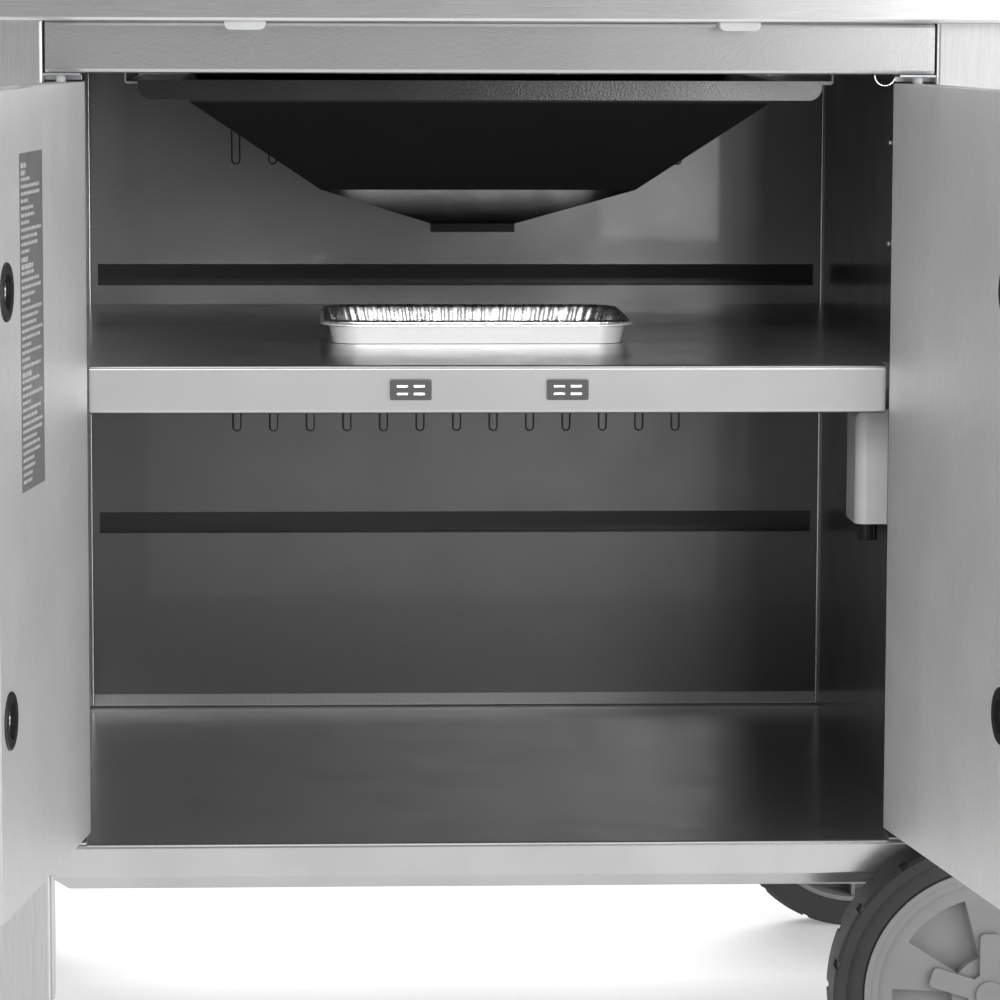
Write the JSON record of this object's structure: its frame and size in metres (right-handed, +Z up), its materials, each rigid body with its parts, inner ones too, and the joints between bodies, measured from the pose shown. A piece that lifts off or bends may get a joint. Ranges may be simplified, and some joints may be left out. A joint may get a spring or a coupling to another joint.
{
  "type": "gas barbecue grill",
  "caption": "Gas barbecue grill on a two-door cabinet cart, with a hinged lid, cooking grates, sliding grease tray, catch pan, side tables, wheels and casters.",
  "frame": {"origin": "middle of the base of the whole grill's box, with the doors standing open as stored", "axes": "+Z up, +Y from the doors to the back, +X to the right as seen from the front, along the side tables"},
  "size_m": [1.43, 0.9254, 1.1717],
  "materials": {
    "frame_steel": "brushed stainless cladding",
    "door_steel": "brushed stainless",
    "panel_steel": "brushed stainless",
    "lid_steel": "brushed stainless",
    "handle_steel": "satin stainless",
    "light_enamel": "light grey glossy powder coat with orange peel",
    "dark_paint": "dark grey powder coat",
    "bright_zinc": "zinc plated",
    "black_enamel": "black porcelain enamel",
    "white_enamel": "bright satin metal",
    "foil": "crinkled foil",
    "white_nylon": "white nylon",
    "grey_plastic": "grey moulded plastic",
    "light_plastic": "light grey moulded plastic",
    "black_plastic": "black moulded plastic",
    "spring_wire": "bright wire",
    "tyre": "black rubber",
    "wheel_plastic": "grey moulded plastic",
    "caster_rubber": "black",
    "knob_metal": "satin",
    "button_plastic": "gloss black",
    "brass": "machined",
    "cast_aluminium": "black painted casting",
    "burner_steel": "stainless",
    "cast_iron": "matte black",
    "black_paint": "black paint",
    "table_steel": "brushed stainless"
  },
  "bodies": {
    "cabinet": {"cabinet_frame": "frame_steel", "side_panels": "dark_paint", "back_panel": "dark_paint", "bottom_panel": "light_enamel", "middle_shelf": "light_enamel", "front_fascia": "light_enamel", "hinge_brackets": "bright_zinc", "door_hinge_pins": "white_nylon", "magnet_catches": "grey_plastic", "igniter_battery_box": "light_plastic", "battery_cap": "black_plastic", "match_holder": "spring_wire", "panel_clips": "white_nylon", "tray_rails": "bright_zinc", "wheel_axle": "bright_zinc", "caster_plates": "bright_zinc", "control_panel": "panel_steel", "gas_manifold": "black_paint", "gas_valves": "brass", "panel_bezels": "knob_metal", "burners": "burner_steel", "cook_box": "cast_aluminium", "flame_tamers": "burner_steel", "cooking_grates": "cast_iron", "warming_rack": "spring_wire", "lid_hinge_brackets": "bright_zinc", "side_tables": "table_steel", "table_arms": "black_paint"},
    "left_door": {"left_door_outer": "door_steel", "left_door_inner": "door_steel", "left_door_handle": "handle_steel", "left_door_grommets": "black_plastic"},
    "right_door": {"right_door_outer": "door_steel", "right_door_inner": "door_steel", "right_door_handle": "handle_steel", "right_door_grommets": "black_plastic"},
    "grease_tray": {"grease_tray": "black_enamel"},
    "catch_pan": {"catch_pan": "white_enamel", "foil_liner": "foil"},
    "front_wheel": {"front_tyre": "tyre", "front_wheel_hub": "wheel_plastic", "front_hub_cap": "wheel_plastic"},
    "front_caster": {"front_caster_fork": "bright_zinc"},
    "front_caster_roller": {"front_caster_wheel": "caster_rubber"},
    "front_caster_lever": {"front_caster_brake": "black_plastic"},
    "rear_wheel": {"rear_tyre": "tyre", "rear_wheel_hub": "wheel_plastic", "rear_hub_cap": "wheel_plastic"},
    "rear_caster": {"rear_caster_fork": "bright_zinc"},
    "rear_caster_roller": {"rear_caster_wheel": "caster_rubber"},
    "rear_caster_lever": {"rear_caster_brake": "black_plastic"},
    "left_knob": {"left_knob": "knob_metal"},
    "middle_knob": {"middle_knob": "knob_metal"},
    "right_knob": {"right_knob": "knob_metal"},
    "igniter_button": {"igniter_button": "button_plastic"},
    "lid": {"lid_shell": "lid_steel", "lid_end_caps": "cast_aluminium", "lid_handle": "handle_steel", "thermometer": "knob_metal"},
    "pointer": {"thermometer_pointer": "black_paint"}
  },
  "joints": [
    {"name": "left_door", "type": "hinge", "parent": "cabinet", "child": "left_door", "pos_m": [-0.2745, -0.19031, 0.688], "axis": [0, 0, -1], "range_deg": [-97.8, 5]},
    {"name": "right_door", "type": "hinge", "parent": "cabinet", "child": "right_door", "pos_m": [0.2745, -0.19031, 0.688], "axis": [0, 0, 1], "range_deg": [-97.8, 5]},
    {"name": "grease_tray_slide", "type": "slide", "parent": "cabinet", "child": "grease_tray", "axis": [0, -1, 0], "range_m": [0, 0.3]},
    {"name": "catch_pan_slide", "type": "slide", "parent": "cabinet", "child": "catch_pan", "axis": [0, -1, 0], "range_m": [0, 0.28]},
    {"name": "lid_hinge", "type": "hinge", "parent": "cabinet", "child": "lid", "pos_m": [0, 0.38769, 0.915], "axis": [-1, 0, 0], "range_deg": [0, 80]},
    {"name": "thermometer_pointer", "type": "hinge", "parent": "lid", "child": "pointer", "pos_m": [0, -0.0825, 1.07503], "axis": [0, 0.7775, -0.6289], "range_deg": [0, 240]},
    {"name": "left_knob_turn", "type": "hinge", "parent": "cabinet", "child": "left_knob", "pos_m": [-0.18, -0.21388, 0.80043], "axis": [0, -0.9562, 0.2927], "range_deg": [0, 235]},
    {"name": "middle_knob_turn", "type": "hinge", "parent": "cabinet", "child": "middle_knob", "pos_m": [0, -0.21388, 0.80043], "axis": [0, -0.9562, 0.2927], "range_deg": [0, 235]},
    {"name": "right_knob_turn", "type": "hinge", "parent": "cabinet", "child": "right_knob", "pos_m": [0.18, -0.21388, 0.80043], "axis": [0, -0.9562, 0.2927], "range_deg": [0, 235]},
    {"name": "igniter_push", "type": "slide", "parent": "cabinet", "child": "igniter_button", "axis": [0, 0.9562, -0.2927], "range_m": [0, 0.004], "stiffness_N_per_m": 600},
    {"name": "front_wheel_spin", "type": "hinge", "parent": "cabinet", "child": "front_wheel", "pos_m": [0.3225, -0.22171, 0.1016], "axis": [0, 1, 0], "continuous": true},
    {"name": "rear_wheel_spin", "type": "hinge", "parent": "cabinet", "child": "rear_wheel", "pos_m": [0.3225, 0.44069, 0.1016], "axis": [0, 1, 0], "continuous": true},
    {"name": "front_caster_swivel", "type": "hinge", "parent": "cabinet", "child": "front_caster", "pos_m": [-0.318, -0.17231, 0.0817], "axis": [0, 0, 1], "continuous": true},
    {"name": "front_caster_spin", "type": "hinge", "parent": "front_caster", "child": "front_caster_roller", "pos_m": [-0.354, -0.17231, 0.032], "axis": [0, 1, 0], "continuous": true},
    {"name": "front_brake_lever", "type": "hinge", "parent": "front_caster", "child": "front_caster_lever", "pos_m": [-0.365, -0.17231, 0.0702], "axis": [0, 1, 0], "range_deg": [0, 12]},
    {"name": "rear_caster_swivel", "type": "hinge", "parent": "cabinet", "child": "rear_caster", "pos_m": [-0.318, 0.38969, 0.0817], "axis": [0, 0, 1], "continuous": true},
    {"name": "rear_caster_spin", "type": "hinge", "parent": "rear_caster", "child": "rear_caster_roller", "pos_m": [-0.354, 0.38969, 0.032], "axis": [0, 1, 0], "continuous": true},
    {"name": "rear_brake_lever", "type": "hinge", "parent": "rear_caster", "child": "rear_caster_lever", "pos_m": [-0.365, 0.38969, 0.0702], "axis": [0, 1, 0], "range_deg": [0, 12]}
  ]
}
